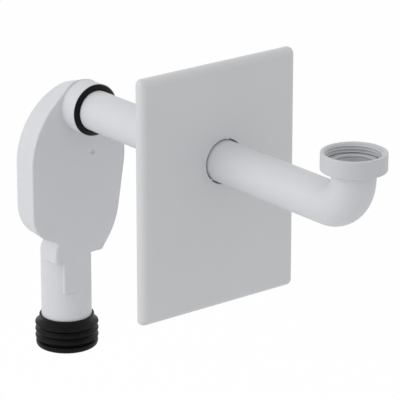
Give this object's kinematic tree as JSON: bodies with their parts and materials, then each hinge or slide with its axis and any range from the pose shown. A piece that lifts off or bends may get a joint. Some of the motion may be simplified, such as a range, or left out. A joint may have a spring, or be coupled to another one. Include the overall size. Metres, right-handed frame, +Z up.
{
  "type": "concealed trap",
  "caption": "Concealed washbasin trap: flat drum with a downward outlet, long level pipe through a cover plate, and an upturned bend with a union nut.",
  "frame": {"origin": "on the outlet's axis, at the bottom of the rubber connector", "axes": "+Z up, +Y into the wall along the connecting pipe, +X to the right seen from the room"},
  "size_m": [0.144, 0.3898, 0.2808],
  "materials": {
    "trap_plastic": "satin moulded, white",
    "plate_plastic": "satin moulded, white",
    "black_rubber": "satin moulded, black",
    "washer_plastic": "waxy, off-white"
  },
  "bodies": {
    "trap_body": {"trap_housing": "trap_plastic", "trap_back_cover": "trap_plastic", "dip_wall": "trap_plastic", "outlet_connector": "black_rubber"},
    "lip_seal": {"inlet_lip_seal": "black_rubber"},
    "pipe": {"connecting_bend": "trap_plastic", "sealing_washer": "washer_plastic"},
    "nut": {"union_nut": "trap_plastic"},
    "plate": {"cover_plate": "plate_plastic"}
  },
  "joints": [
    {"name": "pipe_swivel", "type": "hinge", "parent": "trap_body", "child": "lip_seal", "pos_m": [0.0045, -0.035, 0.206], "axis": [0, 1, 0], "continuous": true},
    {"name": "pipe_slide", "type": "slide", "parent": "lip_seal", "child": "pipe", "axis": [0, 1, 0], "range_m": [-0.01, 0.006]},
    {"name": "nut_turn", "type": "hinge", "parent": "pipe", "child": "nut", "pos_m": [0.0045, -0.34035, 0.2374], "axis": [0, 0, 1], "continuous": true},
    {"name": "plate_slide", "type": "slide", "parent": "trap_body", "child": "plate", "axis": [0, 1, 0], "range_m": [-0.1, 0.13]}
  ]
}
